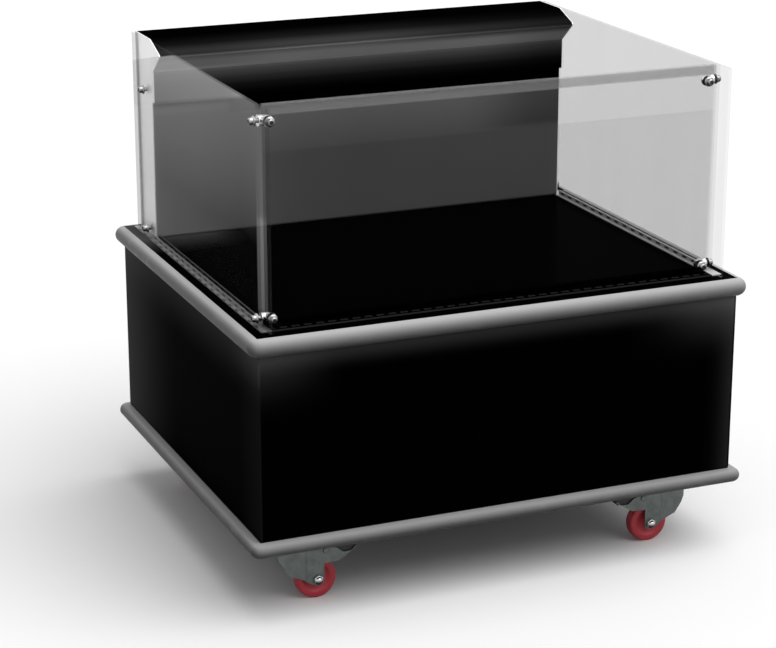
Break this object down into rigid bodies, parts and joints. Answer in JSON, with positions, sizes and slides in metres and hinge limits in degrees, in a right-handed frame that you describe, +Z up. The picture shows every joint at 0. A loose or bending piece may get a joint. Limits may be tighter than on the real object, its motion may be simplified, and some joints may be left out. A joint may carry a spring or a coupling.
{
  "type": "grab-and-go merchandiser",
  "caption": "Low mobile refrigerated display merchandiser with a black bumper-edged cabinet, glass-walled open well, rear air column with hood, and braked swivel castors.",
  "frame": {"origin": "floor point under the centre of the cabinet", "axes": "+X to the right seen from the front, +Y from the front to the rear column, +Z up"},
  "size_m": [0.954, 0.803, 0.897],
  "materials": {
    "chassis_steel": "satin black paint on folded steel",
    "galvanised_sheet": "plain galvanised sheet",
    "bumper_rubber": "matt dark grey extruded bumper",
    "black_enamel": "gloss black enamel",
    "deck_black": "gloss black enamel on folded sheet",
    "tank_liner": "pale liner over foam",
    "channel_aluminium": "satin anodised",
    "strip_black": "satin black",
    "clear_glass": "clear tempered glass with polished edges",
    "glass_trim": "smoked translucent capping",
    "clamp_chrome": "bright plated",
    "column_black": "gloss black enamel",
    "end_cap_metal": "brushed sheet",
    "compressor_black": "semi-gloss black",
    "coil_fins": "plain fins",
    "motor_grey": "satin grey",
    "fan_black": "moulded black",
    "control_black": "moulded black",
    "rocker_red": "moulded red",
    "zinc_plate": "zinc plated pressing",
    "wheel_red": "red moulded wheel",
    "bright_bolt": "bright zinc",
    "pedal_black": "moulded black pedal"
  },
  "bodies": {
    "cabinet": {"base_frame": "chassis_steel", "base_pan": "chassis_steel", "lower_bumper": "bumper_rubber", "upper_bumper": "bumper_rubber", "front_panel": "black_enamel", "left_panel": "black_enamel", "right_panel": "black_enamel", "rear_service_panel": "black_enamel", "top_rim": "deck_black", "product_deck": "deck_black", "insulated_tank": "tank_liner", "left_glass_channel": "channel_aluminium", "right_glass_channel": "channel_aluminium", "front_glass_strip": "strip_black", "left_glass": "clear_glass", "right_glass": "clear_glass", "front_glass": "clear_glass", "front_glass_trim": "glass_trim", "corner_clamps": "clamp_chrome", "glass_screws": "clamp_chrome", "hood_cover": "column_black", "column_front_panel": "column_black", "column_rear_cover": "column_black", "left_end_cap": "end_cap_metal", "right_end_cap": "end_cap_metal", "compressor": "compressor_black", "condenser_coil": "coil_fins", "condenser_fan_shroud": "galvanised_sheet", "condenser_fan_motor": "motor_grey", "drain_pan": "galvanised_sheet", "evaporator_coil": "coil_fins", "evaporator_fan_panel": "galvanised_sheet", "control_box": "control_black", "cable_gland": "control_black", "front_left_castor_plate": "zinc_plate", "rear_left_castor_plate": "zinc_plate", "front_right_castor_plate": "zinc_plate", "rear_right_castor_plate": "zinc_plate"},
    "front_left_swivel": {"front_left_castor_fork": "zinc_plate", "front_left_axle_bolt": "bright_bolt"},
    "front_left_wheel": {"front_left_wheel": "wheel_red"},
    "front_left_brake": {"front_left_brake_pedal": "pedal_black"},
    "rear_left_swivel": {"rear_left_castor_fork": "zinc_plate", "rear_left_axle_bolt": "bright_bolt"},
    "rear_left_wheel": {"rear_left_wheel": "wheel_red"},
    "front_right_swivel": {"front_right_castor_fork": "zinc_plate", "front_right_axle_bolt": "bright_bolt"},
    "front_right_wheel": {"front_right_wheel": "wheel_red"},
    "front_right_brake": {"front_right_brake_pedal": "pedal_black"},
    "rear_right_swivel": {"rear_right_castor_fork": "zinc_plate", "rear_right_axle_bolt": "bright_bolt"},
    "rear_right_wheel": {"rear_right_wheel": "wheel_red"},
    "condenser_fan": {"condenser_fan_blade": "fan_black"},
    "evaporator_fan": {"evaporator_fan_blade": "fan_black"},
    "power_switch": {"rocker_switch": "rocker_red"},
    "thermostat": {"thermostat_knob": "control_black"}
  },
  "joints": [
    {"name": "front_left_swivel_turn", "type": "hinge", "parent": "cabinet", "child": "front_left_swivel", "pos_m": [-0.363, -0.305, 0.1], "axis": [0, 0, 1], "continuous": true},
    {"name": "front_left_wheel_roll", "type": "hinge", "parent": "front_left_swivel", "child": "front_left_wheel", "pos_m": [-0.331, -0.305, 0.0375], "axis": [0, 1, 0], "continuous": true},
    {"name": "front_left_brake_press", "type": "hinge", "parent": "front_left_swivel", "child": "front_left_brake", "pos_m": [-0.315, -0.305, 0.09], "axis": [0, 1, 0], "range_deg": [0, 14]},
    {"name": "rear_left_swivel_turn", "type": "hinge", "parent": "cabinet", "child": "rear_left_swivel", "pos_m": [-0.363, 0.305, 0.1], "axis": [0, 0, 1], "continuous": true},
    {"name": "rear_left_wheel_roll", "type": "hinge", "parent": "rear_left_swivel", "child": "rear_left_wheel", "pos_m": [-0.331, 0.305, 0.0375], "axis": [0, 1, 0], "continuous": true},
    {"name": "front_right_swivel_turn", "type": "hinge", "parent": "cabinet", "child": "front_right_swivel", "pos_m": [0.363, -0.305, 0.1], "axis": [0, 0, 1], "continuous": true},
    {"name": "front_right_wheel_roll", "type": "hinge", "parent": "front_right_swivel", "child": "front_right_wheel", "pos_m": [0.331, -0.305, 0.0375], "axis": [0, 1, 0], "continuous": true},
    {"name": "front_right_brake_press", "type": "hinge", "parent": "front_right_swivel", "child": "front_right_brake", "pos_m": [0.315, -0.305, 0.09], "axis": [0, -1, 0], "range_deg": [0, 14]},
    {"name": "rear_right_swivel_turn", "type": "hinge", "parent": "cabinet", "child": "rear_right_swivel", "pos_m": [0.363, 0.305, 0.1], "axis": [0, 0, 1], "continuous": true},
    {"name": "rear_right_wheel_roll", "type": "hinge", "parent": "rear_right_swivel", "child": "rear_right_wheel", "pos_m": [0.331, 0.305, 0.0375], "axis": [0, 1, 0], "continuous": true},
    {"name": "condenser_fan_spin", "type": "hinge", "parent": "cabinet", "child": "condenser_fan", "pos_m": [-0.24, 0.2665, 0.2355], "axis": [0, 1, 0], "continuous": true},
    {"name": "evaporator_fan_spin", "type": "hinge", "parent": "cabinet", "child": "evaporator_fan", "pos_m": [0, 0.034, 0.443], "axis": [0, 1, 0], "continuous": true},
    {"name": "power_switch_rock", "type": "hinge", "parent": "cabinet", "child": "power_switch", "pos_m": [-0.025, 0.3765, 0.33], "axis": [1, 0, 0], "range_deg": [0, 14]},
    {"name": "thermostat_turn", "type": "hinge", "parent": "cabinet", "child": "thermostat", "pos_m": [0.025, 0.3815, 0.33], "axis": [0, -1, 0], "range_deg": [0, 270]}
  ]
}
